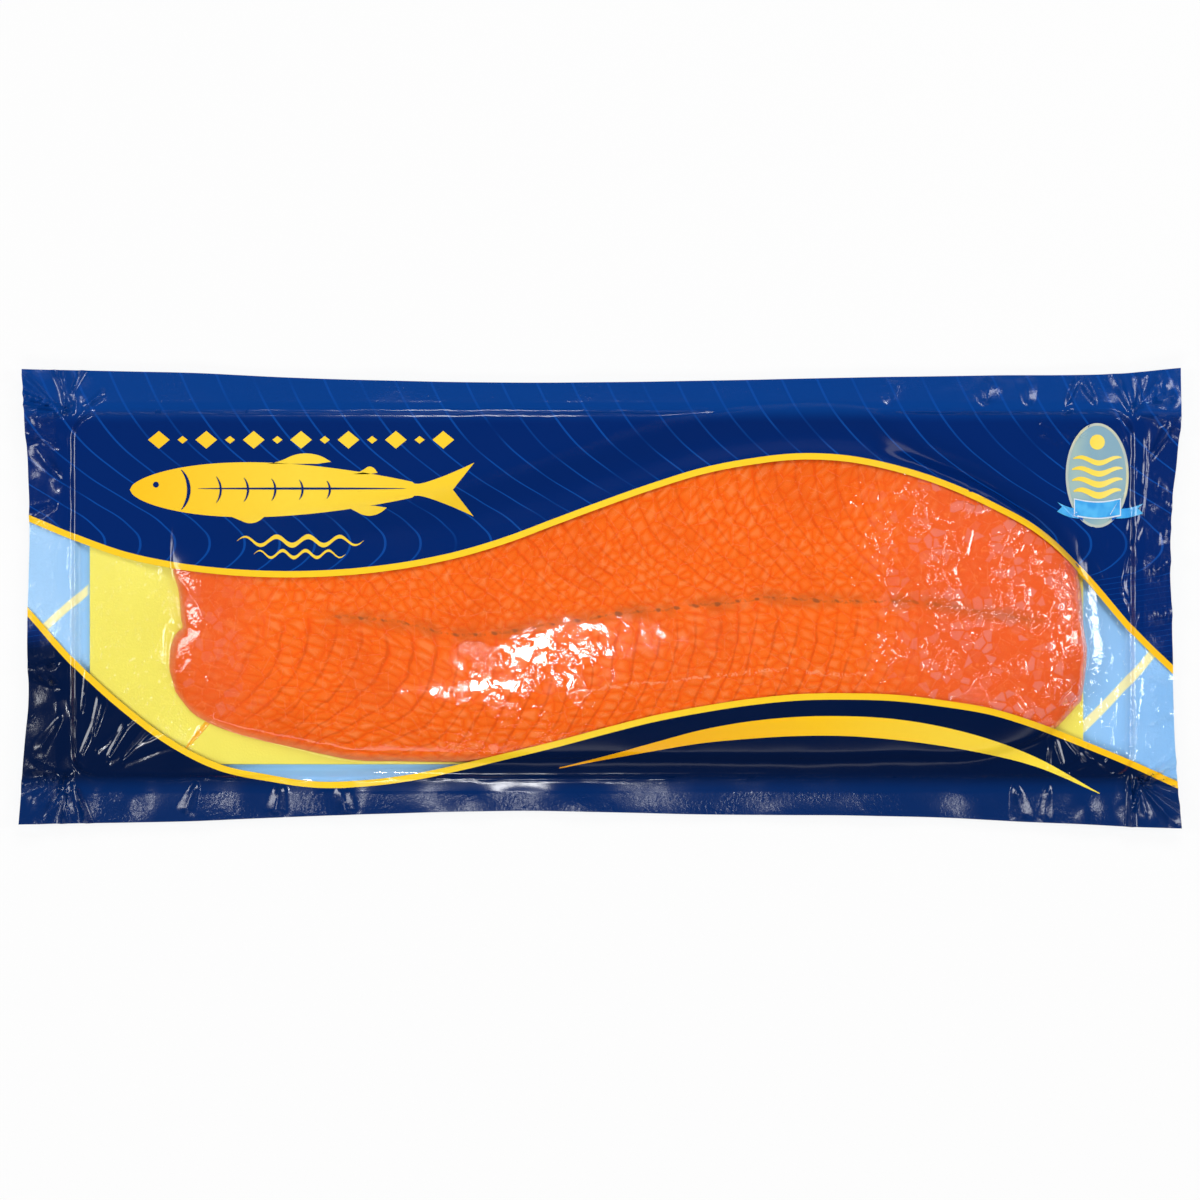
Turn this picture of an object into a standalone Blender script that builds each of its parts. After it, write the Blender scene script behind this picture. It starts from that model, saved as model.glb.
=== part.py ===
"""Vacuum pack of a side of smoked salmon: formed base film, board, fish and the film drawn down over it.

Run with blender --background --python part.py, or from the text editor. Metres, +Z up, X along the pack.
The pack lies on its back: the pocket's floor is on z = 0 and the origin is under the middle of the pack.
"""

import math

import bmesh
import bpy
import numpy as np

MM = 0.001  # every dimension below is in millimetres

# The pack and its four edges, as (along, across) stations. The vacuum draws them in between the corners.
PACK_LENGTH = 600.0
PACK_WIDTH = 237.6
TOP_EDGE = [
    (-300, 118.2), (-207, 116.2), (-115, 112.6), (-25, 111.5), (66, 112.6), (203, 115.1), (272, 116.2),
    (300, 118.8),
]
BOTTOM_EDGE = [
    (-300, -116.8), (-207, -115.1), (-115, -111.5), (-47, -110.0), (66, -112.0), (180, -113.6), (248, -116.7),
    (300, -118.8),
]
LEFT_EDGE = [
    (-118.8, -300.0), (-94, -298.4), (-56, -295.2), (-18, -295.9), (40, -294.8), (68, -295.2), (92, -297.0),
    (118.8, -298.4),
]
RIGHT_EDGE = [
    (-118.8, 300.0), (-94, 297.9), (-44, 295.8), (12, 294.4), (55, 295.8), (80, 298.0), (92, 299.8),
    (118.8, 299.6),
]

# The pocket formed in the base film.
POCKET_LOW = (-268.5, -88.3)
POCKET_HIGH = (271.5, 91.9)
POCKET_CORNER = 7.0
POCKET_DEPTH = 4.0
WALL_WIDTH = 5.2

# Film, board and fish.
FILM_THICKNESS = 0.4
LAYER_GAP = 0.3
BOARD_LENGTH = 514.0
BOARD_WIDTH = 176.0
BOARD_CENTRE = (-7.0, 2.0)
BOARD_THICKNESS = 1.2
BOARD_CORNER = 5.0
BOARD_BEVEL_SEGMENTS = 4
FISH_CLEARANCE = 0.9  # the top film stands this far off the flesh
FILM_SLOPE = 1.15  # height lost for each millimetre where the film spans from an edge

# Outline of the fish: lower and upper edges along X, then its two ends from 0 at the lower edge to 1.
FISH_LOWER = [
    (-222, -45), (-211, -59), (-190, -69), (-166, -75.2), (-133, -82.8), (-103, -84.4), (0, -84),
    (150, -83.5), (205, -81), (231, -71), (252, -50),
]
FISH_UPPER = [
    (-222, 18), (-205, 22), (-170, 24.5), (-130, 27.5), (-90, 33), (-50, 43), (-10, 55), (30, 68),
    (70, 77), (110, 80.5), (150, 76), (180, 67), (205, 55), (228, 38), (243, 22), (252, 9),
]
FISH_LEFT_END = [(0, -218.5), (0.29, -221.5), (0.52, -216.0), (0.79, -218.5), (1, -221.5)]
FISH_RIGHT_END = [(0, 249.0), (0.42, 251.8), (0.7, 249.5), (1, 246.5)]
# Thickness along the side, and the share of it across from the belly edge to the back edge.
FISH_THICKNESS = [
    (-222, 7), (-190, 11), (-140, 15.5), (-60, 19.5), (40, 22), (140, 22.5), (200, 20), (240, 16), (252, 14),
]
FISH_ACROSS = [
    (0, 0.2), (0.06, 0.38), (0.15, 0.6), (0.3, 0.84), (0.5, 0.97), (0.65, 1.0), (0.8, 0.97), (0.9, 0.86),
    (0.97, 0.62), (1, 0.38),
]
END_ROUNDING = 16.0  # the cut ends round down over this length
END_SHARE = 0.42  # to this share of the thickness

# Waves and curl of the sealed flange. Each wave has its axis, length, phase and height.
FLANGE_WAVES = [(0, 118.0, 0.9, 0.8), (0, 51.0, 2.1, 0.5), (1, 73.0, 1.3, 0.8), (1, 44.0, 0.2, 0.4)]
CORNER_CURL = 2.4
CORNER_REACH = 34.0

# How the fish is divided: columns along it, closer at the cut ends, and rows across it, closer at the edges.
END_COLUMNS = [0.0, 3.0, 8.0, 16.0]
MIDDLE_COLUMNS = 33
FISH_ROWS = [0.0, 0.04, 0.1, 0.2, 0.33, 0.46, 0.59, 0.71, 0.81, 0.89, 0.95, 1.0]
SKIRT = 5.0  # the film comes down to the board this far outside the fish

COLOURS = {
    "front_film": ((0.004, 0.045, 0.21), 0.12),
    "back_film": ((0.27, 0.54, 0.92), 0.2),
    "board": ((0.93, 0.82, 0.14), 0.35),
    "salmon_side": ((0.95, 0.2, 0.035), 0.4),
}


def curve_through(stations):
    """A smooth curve through the stations, as a function that takes numbers or arrays."""
    xs, ys = np.array(stations, float).T
    slopes = np.gradient(ys, xs)

    def at(x):
        x = np.clip(x, xs[0], xs[-1])
        i = np.clip(np.searchsorted(xs, x, side="right") - 1, 0, len(xs) - 2)
        width = xs[i + 1] - xs[i]
        t = (x - xs[i]) / width
        start = (1 + 2 * t) * (1 - t) ** 2 * ys[i] + t * (1 - t) ** 2 * width * slopes[i]
        end = t * t * (3 - 2 * t) * ys[i + 1] + t * t * (t - 1) * width * slopes[i + 1]
        return start + end

    return at


def ease(t):
    """0 to 1 with soft ends."""
    t = np.clip(t, 0.0, 1.0)
    return t * t * (3 - 2 * t)


top_edge, bottom_edge = curve_through(TOP_EDGE), curve_through(BOTTOM_EDGE)
left_edge, right_edge = curve_through(LEFT_EDGE), curve_through(RIGHT_EDGE)
fish_lower, fish_upper = curve_through(FISH_LOWER), curve_through(FISH_UPPER)
fish_left, fish_right = curve_through(FISH_LEFT_END), curve_through(FISH_RIGHT_END)
fish_thickness, fish_across = curve_through(FISH_THICKNESS), curve_through(FISH_ACROSS)


def outside_pocket(x, y):
    """Distance outside the pocket's floor, whose corners are round. Zero or less on the floor."""
    low, high = np.array(POCKET_LOW), np.array(POCKET_HIGH)
    centre, half = (low + high) / 2, (high - low) / 2 - POCKET_CORNER
    dx, dy = np.abs(x - centre[0]) - half[0], np.abs(y - centre[1]) - half[1]
    outer = np.hypot(np.maximum(dx, 0), np.maximum(dy, 0))
    return outer + np.minimum(np.maximum(dx, dy), 0) - POCKET_CORNER


def flange_height(x, y, beyond):
    """Underside of the flange: level at the pocket's rim, waved and curled up towards the pack's edge."""
    spread = ease(beyond / 20.0)
    waves = sum(
        height * np.sin(2 * math.pi * (x, y)[axis] / length + phase)
        for axis, length, phase, height in FLANGE_WAVES
    )
    to_corner = np.hypot(PACK_LENGTH / 2 - np.abs(x), PACK_WIDTH / 2 - np.abs(y))
    curl = CORNER_CURL * (1 - ease(to_corner / CORNER_REACH))
    return POCKET_DEPTH + spread * (waves + curl)


def base_height(x, y):
    """Underside of the base film: the pocket's floor, its wall and the flange."""
    beyond = outside_pocket(x, y)
    return flange_height(x, y, beyond - WALL_WIDTH) * ease(beyond / WALL_WIDTH)


def fish_shares_along():
    """Columns of the fish as shares of its length."""
    length = FISH_LOWER[-1][0] - FISH_LOWER[0][0]
    ends = np.array(END_COLUMNS) / length
    middle = np.linspace(ends[-1], 1 - ends[-1], MIDDLE_COLUMNS + 1)
    return np.concatenate([ends[:-1], middle, (1 - ends[:-1])[::-1]])


def plan():
    """Plan positions of the grid that the films and the fish share, and the block of it that is the fish.

    Its lines run on the pack's edges, the pocket's rim and foot, and the outline of the fish.
    """
    share_u, share_v = fish_shares_along(), np.array(FISH_ROWS)
    before_x, after_x, before_y, after_y = 6, 5, 5, 7
    u, v = np.meshgrid(
        np.pad(share_u, (before_x, after_x), mode="edge"),
        np.pad(share_v, (before_y, after_y), mode="edge"),
        indexing="ij",
    )
    start, end = fish_left(v), fish_right(v)
    x = start + u * (end - start)
    foot, rim = POCKET_LOW[0], POCKET_LOW[0] - WALL_WIDTH
    x[3], x[4], x[5] = foot, (foot + start[4] - SKIRT) / 2, start[5] - SKIRT
    x[2] = rim
    foot, rim = POCKET_HIGH[0], POCKET_HIGH[0] + WALL_WIDTH
    x[-5], x[-4], x[-3] = end[-5] + SKIRT, foot, rim

    y = fish_lower(x) + v * (fish_upper(x) - fish_lower(x))
    foot, rim = POCKET_LOW[1], POCKET_LOW[1] - WALL_WIDTH
    y[:, 4] = np.maximum(y[:, 4] - SKIRT, (y[:, 4] + foot) / 2)
    y[:, 3], y[:, 2] = foot, rim
    foot, rim = POCKET_HIGH[1], POCKET_HIGH[1] + WALL_WIDTH
    fish_edge = y[:, -7].copy()
    y[:, -7] = np.minimum(fish_edge + SKIRT, (3 * fish_edge + foot) / 4)
    y[:, -6] = y[:, -7] + (foot - y[:, -7]) / 3
    y[:, -5] = y[:, -7] + (foot - y[:, -7]) * 2 / 3
    y[:, -4], y[:, -3] = foot, rim
    round_pocket_corners(x, y)

    y[:, 0], y[:, -1] = -PACK_WIDTH / 2, PACK_WIDTH / 2
    x[0], x[-1] = left_edge(y[0]), right_edge(y[-1])
    y[:, 0], y[:, -1] = bottom_edge(x[:, 0]), top_edge(x[:, -1])
    x[1], x[-2] = (x[0] + x[2]) / 2, (x[-1] + x[-3]) / 2
    y[:, 1], y[:, -2] = (y[:, 0] + y[:, 2]) / 2, (y[:, -1] + y[:, -3]) / 2
    return x, y, (slice(before_x, -after_x), slice(before_y, -after_y))


def round_pocket_corners(x, y):
    """Moves the grid's points at the pocket's four corners onto the arcs of its foot and rim."""
    for i_rim, i_foot, x_foot, out_x in ((2, 3, POCKET_LOW[0], -1), (-3, -4, POCKET_HIGH[0], 1)):
        for j_rim, j_foot, y_foot, out_y in ((2, 3, POCKET_LOW[1], -1), (-3, -4, POCKET_HIGH[1], 1)):
            arcs = [
                (i_foot, j_foot, 45.0, 0),
                (i_rim, j_rim, 45.0, 1),
                (i_rim, j_foot, 22.5, 1),
                (i_foot, j_rim, 67.5, 1),
            ]
            for i, j, angle, on_rim in arcs:
                radius = POCKET_CORNER + on_rim * WALL_WIDTH
                x[i, j] = x_foot + out_x * (radius * math.cos(math.radians(angle)) - POCKET_CORNER)
                y[i, j] = y_foot + out_y * (radius * math.sin(math.radians(angle)) - POCKET_CORNER)


def fish_height(x, v):
    """Thickness of the fish at positions along it and shares across it."""
    to_end = np.minimum(x - fish_left(v), fish_right(v) - x)
    rounding = 1 - (1 - np.clip(to_end / END_ROUNDING, 0, 1)) ** 2
    return fish_thickness(x) * fish_across(v) * (END_SHARE + (1 - END_SHARE) * np.sqrt(rounding))


def draped_height(x, y, fish_x, fish_y, fish_top, board_top):
    """Underside of the top film: on the base film, the board and the fish, sloping down from its edges."""
    height = np.maximum(base_height(x, y) + FILM_THICKNESS, board_top) + LAYER_GAP
    for place in np.ndindex(x.shape):
        away = np.hypot(fish_x - x[place], fish_y - y[place])
        height[place] = max(height[place], (fish_top + FISH_CLEARANCE - away * FILM_SLOPE).max())
    return height


def finish(mesh_builder, name):
    """Makes the object of a bmesh, with outward faces and the piece's own material."""
    bmesh.ops.recalc_face_normals(mesh_builder, faces=mesh_builder.faces)
    mesh = bpy.data.meshes.new(name)
    mesh_builder.to_mesh(mesh)
    mesh_builder.free()
    colour, roughness = COLOURS[name]
    material = bpy.data.materials.new(name)
    material.use_nodes = True
    shader = material.node_tree.nodes["Principled BSDF"]
    shader.inputs["Base Color"].default_value = (*colour, 1)
    shader.inputs["Roughness"].default_value = roughness
    mesh.materials.append(material)
    mesh.shade_smooth()
    mesh.set_sharp_from_angle(angle=math.radians(40))
    piece = bpy.data.objects.new(name, mesh)
    bpy.context.scene.collection.objects.link(piece)
    return piece


def slab_between(name, x, y, under, top, flat_tolerance=None):
    """A closed solid over the plan grid, from the surface under it to the surface on top."""
    builder = bmesh.new()
    cells = (x.shape[0] - 1, x.shape[1] - 1)
    bmesh.ops.create_grid(builder, x_segments=cells[0], y_segments=cells[1], size=1)
    places = {}
    for vertex in builder.verts:
        i = round((vertex.co.x + 1) / 2 * cells[0])
        j = round((vertex.co.y + 1) / 2 * cells[1])
        places[vertex] = (i, j)
        vertex.co = (x[i, j] * MM, y[i, j] * MM, under[i, j] * MM)
    raised = bmesh.ops.extrude_face_region(builder, geom=builder.faces[:], use_keep_orig=True)
    by_plan = {(round(v.co.x, 9), round(v.co.y, 9)): ij for v, ij in places.items()}
    for item in raised["geom"]:
        if isinstance(item, bmesh.types.BMVert):
            item.co.z = top[by_plan[(round(item.co.x, 9), round(item.co.y, 9))]] * MM
    if flat_tolerance:
        bmesh.ops.recalc_face_normals(builder, faces=builder.faces)
        bmesh.ops.dissolve_limit(
            builder, angle_limit=flat_tolerance, verts=builder.verts[:], edges=builder.edges[:]
        )
    return finish(builder, name)


def make_board(bottom):
    """The card that the fish lies on, with round corners."""
    builder = bmesh.new()
    bmesh.ops.create_cube(builder, size=1)
    for vertex in builder.verts:
        vertex.co.x = (vertex.co.x * BOARD_LENGTH + BOARD_CENTRE[0]) * MM
        vertex.co.y = (vertex.co.y * BOARD_WIDTH + BOARD_CENTRE[1]) * MM
        vertex.co.z = (bottom + (vertex.co.z + 0.5) * BOARD_THICKNESS) * MM
    half_thickness = BOARD_THICKNESS * MM / 2
    upright = [e for e in builder.edges if abs(e.verts[0].co.z - e.verts[1].co.z) > half_thickness]
    bmesh.ops.bevel(
        builder,
        geom=upright,
        offset=BOARD_CORNER * MM,
        segments=BOARD_BEVEL_SEGMENTS,
        profile=0.5,
        affect="EDGES",
    )
    return finish(builder, "board")


def main():
    for old in list(bpy.data.objects):
        bpy.data.objects.remove(old, do_unlink=True)
    board_bottom = FILM_THICKNESS + LAYER_GAP
    board_top = board_bottom + BOARD_THICKNESS
    fish_bottom = board_top + LAYER_GAP

    x, y, fish = plan()
    under = base_height(x, y)
    slab_between("back_film", x, y, under, under + FILM_THICKNESS, flat_tolerance=1e-4)
    make_board(board_bottom)
    thickness = fish_height(x[fish], np.broadcast_to(FISH_ROWS, x[fish].shape))
    fish_top = fish_bottom + thickness
    slab_between("salmon_side", x[fish], y[fish], np.full_like(thickness, fish_bottom), fish_top, 1e-4)
    draped = draped_height(x, y, x[fish], y[fish], fish_top, board_top)
    slab_between("front_film", x, y, draped, draped + FILM_THICKNESS)


main()
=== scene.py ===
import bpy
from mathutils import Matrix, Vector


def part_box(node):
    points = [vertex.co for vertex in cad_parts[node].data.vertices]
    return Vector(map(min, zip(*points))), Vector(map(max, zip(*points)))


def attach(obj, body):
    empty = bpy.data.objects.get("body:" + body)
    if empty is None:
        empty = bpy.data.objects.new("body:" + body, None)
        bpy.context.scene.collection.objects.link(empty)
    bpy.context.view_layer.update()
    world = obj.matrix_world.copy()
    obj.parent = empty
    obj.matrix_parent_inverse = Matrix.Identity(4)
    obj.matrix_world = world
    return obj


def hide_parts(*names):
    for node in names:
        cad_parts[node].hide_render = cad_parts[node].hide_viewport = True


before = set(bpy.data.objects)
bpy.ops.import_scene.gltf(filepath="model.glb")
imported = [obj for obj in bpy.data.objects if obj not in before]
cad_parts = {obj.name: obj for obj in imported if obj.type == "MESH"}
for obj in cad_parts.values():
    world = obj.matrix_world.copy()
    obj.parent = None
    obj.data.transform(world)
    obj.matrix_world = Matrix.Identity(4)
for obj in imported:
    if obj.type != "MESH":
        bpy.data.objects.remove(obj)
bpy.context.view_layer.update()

import math

import bpy
import numpy as np
from mathutils import Vector

mm = 0.001  # the functions below work in millimetres, the meshes are in metres

halfLength, halfWidth, _ = np.array(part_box("back_film")[1]) / mm
boardLow, boardHigh = (np.array(corner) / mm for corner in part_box("board"))
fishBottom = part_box("salmon_side")[0][2] / mm


# a smooth curve through stations, as a function of x
def curveThrough(*stations):
    xs, ys = np.array(stations, float).T
    slopes = np.gradient(ys, xs)

    def at(x):
        x = np.clip(x, xs[0], xs[-1])
        i = np.clip(np.searchsorted(xs, x, side="right") - 1, 0, len(xs) - 2)
        width = xs[i + 1] - xs[i]
        t = (x - xs[i]) / width
        start = (1 + 2 * t) * (1 - t) ** 2 * ys[i] + t * (1 - t) ** 2 * width * slopes[i]
        return start + t * t * (3 - 2 * t) * ys[i + 1] + t * t * (t - 1) * width * slopes[i + 1]

    return at


def ease(t):
    t = np.clip(t, 0.0, 1.0)
    return t * t * (3 - 2 * t)


# the higher of two, with a soft join
def smoothMax(a, b, blend):
    return 0.5 * (a + b + np.sqrt((a - b) ** 2 + blend ** 2))


# a quarter circle from 0 to 1
def roundOver(t):
    return np.sqrt(np.clip(1 - (1 - np.clip(t, 0, 1)) ** 2, 0, 1))


# smooth noise on a seeded lattice, about -1 to 1, one bump every step
def softNoise(x, y, step, seed):
    lattice = np.random.default_rng(seed).uniform(-1, 1, (256, 256))
    gx, gy = np.asarray(x) / step + 97.3, np.asarray(y) / step + 61.7
    ix, iy = np.floor(gx).astype(int), np.floor(gy).astype(int)
    fx, fy = ease(gx - ix), ease(gy - iy)
    a, b = lattice[ix % 256, iy % 256], lattice[(ix + 1) % 256, iy % 256]
    c, d = lattice[ix % 256, (iy + 1) % 256], lattice[(ix + 1) % 256, (iy + 1) % 256]
    return (a * (1 - fx) + b * fx) * (1 - fy) + (c * (1 - fx) + d * fx) * fy


# creased like foil: flat facets that meet in sharp folds, 0 to 1
def foldedNoise(x, y, step, seed):
    rng = np.random.default_rng(seed)
    total = np.zeros_like(x)
    for turn in range(5):
        angle = rng.uniform(0, math.pi)
        across = x * math.cos(angle) + y * math.sin(angle)
        along = across / (step * rng.uniform(0.7, 1.5)) + rng.uniform(0, 9)
        along = along + 0.35 * softNoise(x, y, step * 2.2, seed + turn)
        total = total + np.abs((along % 2) - 1)
    return total / 5


# the pack's outline, from its middle
topEdge = curveThrough(
    (-300, 118.2), (-252, 117.3), (-207, 116.2), (-161, 114.0), (-115, 112.5), (-70, 111.6), (0, 111.5),
    (66, 112.6), (134, 114.0), (203, 115.1), (272, 116.2), (300, 118.8),
)
bottomEdge = curveThrough(
    (-300, -116.8), (-207, -115.1), (-161, -113.2), (-115, -111.5), (-47, -110.0), (66, -112.0),
    (134, -112.4), (180, -113.6), (225, -115.9), (248, -116.7), (272, -118.0), (300, -118.8),
)
leftEdge = curveThrough(
    (-118.8, -300.0), (-94, -298.4), (-72, -296.6), (-56, -295.2), (-18, -295.9), (10, -295.0),
    (40, -294.8), (68, -295.2), (92, -297.0), (118.8, -298.4),
)
rightEdge = curveThrough(
    (-118.8, 300.0), (-94, 297.9), (-70, 296.6), (-44, 296.0), (-8, 295.2), (12, 294.2), (30, 294.6),
    (55, 295.8), (67, 297.3), (80, 298.6), (92, 299.8), (118.8, 299.6),
)

pocket = {"low": (-268.5, -88.3), "high": (271.5, 91.9), "corner": 9.0, "wall": 5.2, "depth": 4.0}

# the two wavy print lines that bound the clear window
upperWave = curveThrough(
    (-300, 43.4), (-271, 31.3), (-246, 22.5), (-221, 17.1), (-197, 14.0), (-172, 12.4), (-147, 12.4),
    (-122, 14.0), (-97, 17.3), (-72, 22.5), (-48, 29.7), (-23, 39.1), (2, 48.4), (27, 57.2), (52, 64.9),
    (77, 69.8), (101, 72.4), (126, 71.4), (151, 66.5), (176, 58.7), (201, 47.6), (226, 33.6), (250, 12.2),
    (275, -16.6), (300, -41.0),
)
lowerWave = curveThrough(
    (-300, -2.0), (-271, -34.4), (-246, -57.2), (-221, -75.5), (-197, -87.4), (-172, -92.8),
    (-147, -96.3), (-122, -95.7), (-97, -92.6), (-72, -87.4), (-48, -81.5), (-23, -75.3), (2, -68.5),
    (27, -62.1), (52, -57.2), (77, -53.3), (101, -50.9), (126, -50.4), (151, -51.2), (176, -54.1),
    (201, -58.4), (226, -66.2), (250, -75.5), (275, -85.9), (300, -97.4),
)

# the side of fish: lower and upper edge along it, then its two ends across it
fishLower = curveThrough(
    (-222, -45), (-211, -59), (-204, -63.6), (-190, -69.4), (-175, -73.6), (-159, -77.2), (-142, -81),
    (-130, -83.4), (-103, -84.4), (0, -84), (150, -83.5), (205, -81), (231, -71), (252, -50),
)
fishUpper = curveThrough(
    (-222, 18), (-205, 22), (-170, 24.5), (-130, 27.5), (-90, 33), (-50, 43), (-10, 55), (30, 68),
    (70, 77), (110, 80.5), (150, 76), (180, 67), (205, 55), (228, 38), (243, 22), (252, 9),
)
fishLeft = curveThrough(
    (0, -219.5), (0.1, -222.3), (0.22, -222.6), (0.36, -221.2), (0.47, -218.4), (0.52, -216.0),
    (0.58, -216.6), (0.68, -217.0), (0.79, -218.0), (0.9, -220.2), (1, -221.5),
)
fishRight = curveThrough(
    (0, 249.0), (0.2, 251.0), (0.42, 251.8), (0.56, 250.2), (0.7, 249.2), (0.88, 248.2), (1, 246.5),
)
fishThickness = curveThrough(
    (-222, 7), (-190, 11), (-140, 15.5), (-60, 19.5), (40, 22), (140, 22.5), (200, 20), (240, 16),
    (252, 14),
)
fishAcross = curveThrough(
    (0, 0.2), (0.06, 0.38), (0.15, 0.6), (0.3, 0.84), (0.5, 0.97), (0.65, 1.0), (0.8, 0.97), (0.9, 0.86),
    (0.97, 0.62), (1, 0.38),
)
lateralLine = curveThrough(
    (-222, -6), (-145, -8.8), (-103, -12.4), (-75, -18.6), (-53, -18.1), (-31, -14.5), (-10, -11.4),
    (7, -8.3), (34, -5.7), (63, -2.6), (86, 0), (117, -1.6), (158, -2.1), (228, -11.9), (252, -14),
)


# distance outside the pocket's floor, zero or less on it
def outsidePocket(x, y):
    low, high = np.array(pocket["low"]), np.array(pocket["high"])
    centre, half = (low + high) / 2, (high - low) / 2 - pocket["corner"]
    dx, dy = np.abs(x - centre[0]) - half[0], np.abs(y - centre[1]) - half[1]
    aroundCorner = np.hypot(np.maximum(dx, 0), np.maximum(dy, 0))
    return aroundCorner + np.minimum(np.maximum(dx, dy), 0) - pocket["corner"]


# one fold: it starts narrow at a point, runs out at an angle and widens
def fold(x, y, start, angle, length, width, height, tail=0.25, head=0.1):
    turn = math.radians(angle)
    along = ((x - start[0]) * math.cos(turn) + (y - start[1]) * math.sin(turn)) / length
    aside = np.abs((y - start[1]) * math.cos(turn) - (x - start[0]) * math.sin(turn))
    reach = width[0] + (width[1] - width[0]) * np.clip(along, 0, 1)
    ridge = np.clip(1 - aside / reach, 0, 1)
    ridge = ridge * (0.55 + 0.45 * ridge)
    return height * ridge * ease(along / head) * (1 - ease((along - 1 + tail) / tail))


# folds that fan out of each corner of the pocket: corner, middle angle, half spread, how many, seed
cornerFans = {
    "topLeft": ((-274, 96), 133, 62, 7, 3),
    "topRight": ((277, 97), 44, 66, 8, 8),
    "bottomLeft": ((-274, -93), 228, 66, 9, 5),
    "bottomRight": ((277, -93), 318, 68, 8, 13),
}

# single folds, given one by one: start, angle, length, (start, end) half width, height
singleFolds = [
    ((-272.5, 93.5), 100, 27, (1.6, 7.5), 2.6), ((-268, 97), 38, 17, (1.0, 3.2), 1.4),
    ((-277, 60), 128, 26, (1.2, 8.0), 1.9), ((-278, 50), 205, 22, (1.0, 7.0), 1.7),
    ((-277, 78), 160, 24, (1.0, 6.5), 1.6), ((-276, -32), 196, 24, (1.0, 6.0), 1.8),
    ((-277, -47), 150, 22, (1.2, 7.0), 2.0), ((-277, -60), 235, 26, (1.0, 5.5), 1.4),
    ((-266, -84), 52, 30, (0.8, 4.5), 1.1), ((-262, -85), 38, 34, (0.8, 4.0), 0.9),
    ((-267, -82), 66, 26, (0.8, 3.6), 1.0), ((-165, -94), 262, 20, (1.5, 7.5), 1.7),
    ((-134, -95), 280, 19, (2.0, 8.5), 1.6), ((214, -95), 283, 22, (2.0, 8.5), 1.8),
    ((232, -95), 262, 22, (1.6, 6.0), 1.3), ((-208, -94), 250, 20, (1.6, 6.5), 1.4),
    ((199, 98), 82, 17, (3.0, 11.0), 1.3), ((222, 98), 96, 17, (2.5, 8.0), 1.1),
    ((150, 98), 84, 16, (3.0, 9.0), 0.6), ((283, 30), 24, 20, (1.2, 6.5), 2.0),
    ((281, 10), 36, 22, (1.0, 7.0), 2.2), ((283, -10), 12, 16, (1.0, 6.0), 1.8),
    ((282, 52), 340, 18, (1.2, 6.0), 1.6), ((283, 70), 62, 26, (1.0, 5.0), 2.2),
    ((283, 66), 300, 30, (1.0, 4.0), 1.5), ((282, -40), 350, 15, (1.0, 5.0), 0.9),
    ((283, -66), 30, 16, (1.0, 5.0), 0.9), ((236, 91), 45, 12, (0.8, 3.0), 1.2),
    ((257, 99), 122, 18, (1.0, 4.0), 1.6), ((240, 97), 68, 20, (1.0, 4.0), 1.5),
]


# soft swellings of the welded rim: middle, reach each way, height
domes = [
    ((-67, -107), (14, 7), 1.5), ((-16, -107), (15, 7), 1.5), ((-134, -105), (8, 8), 1.6),
    ((-173, -107), (9, 8), 1.6), ((-243, -105), (9, 8), 2.0), ((-270, -106), (9, 7), 1.8),
    ((-292, -89), (5, 5), 1.4), ((192, -107), (14, 7), 1.5), ((251, -108), (7, 7), 1.8),
    ((272, -109), (6, 7), 1.6), ((204, 107), (20, 6), 1.3), ((268, 108), (7, 6), 1.6),
    ((293, 102), (5, 6), 1.6), ((-289, 88), (8, 9), 2.2), ((-285, 62), (8, 10), 2.2),
    ((-285, -49), (8, 10), 2.2), ((289, 45), (6, 8), 2.0), ((289, 22), (6, 7), 2.0),
    ((289, -10), (6, 5), 1.6), ((-268, 107), (6, 8), 1.8),
]

# folds in the film over the pocket: past the fish's ends, over the oil run and in the lower corners
innerFolds = [
    ((-255, -83), 62, 24, (0.7, 3.0), 1.0), ((-248, -84), 48, 26, (0.7, 3.0), 0.9),
    ((-262, -72), 74, 22, (0.7, 2.6), 0.8), ((-268, -60), 84, 26, (0.6, 1.4), 0.7),
    ((228, -54), 75, 20, (0.6, 1.4), 0.8), ((221, -62), 118, 24, (0.7, 1.6), 0.8),
    ((240, -20), 250, 18, (0.6, 1.2), 0.7), ((256, -47), 62, 16, (0.7, 2.2), 1.0),
    ((263, -36), 240, 18, (0.6, 1.6), 0.8), ((266, -68), 88, 26, (0.6, 1.1), 0.7),
    ((259, -70), 92, 22, (0.6, 1.0), 0.5), ((252, -86), 128, 20, (0.7, 2.4), 0.9),
    ((240, -87), 108, 16, (0.7, 2.2), 0.8), ((186, 58), 328, 16, (0.7, 1.6), 0.9),
    ((238, 50), 318, 14, (0.7, 1.8), 0.9), ((226, 86), 335, 16, (0.7, 2.0), 0.8),
    ((262, 40), 60, 20, (0.7, 1.8), 0.9),
]


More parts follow.
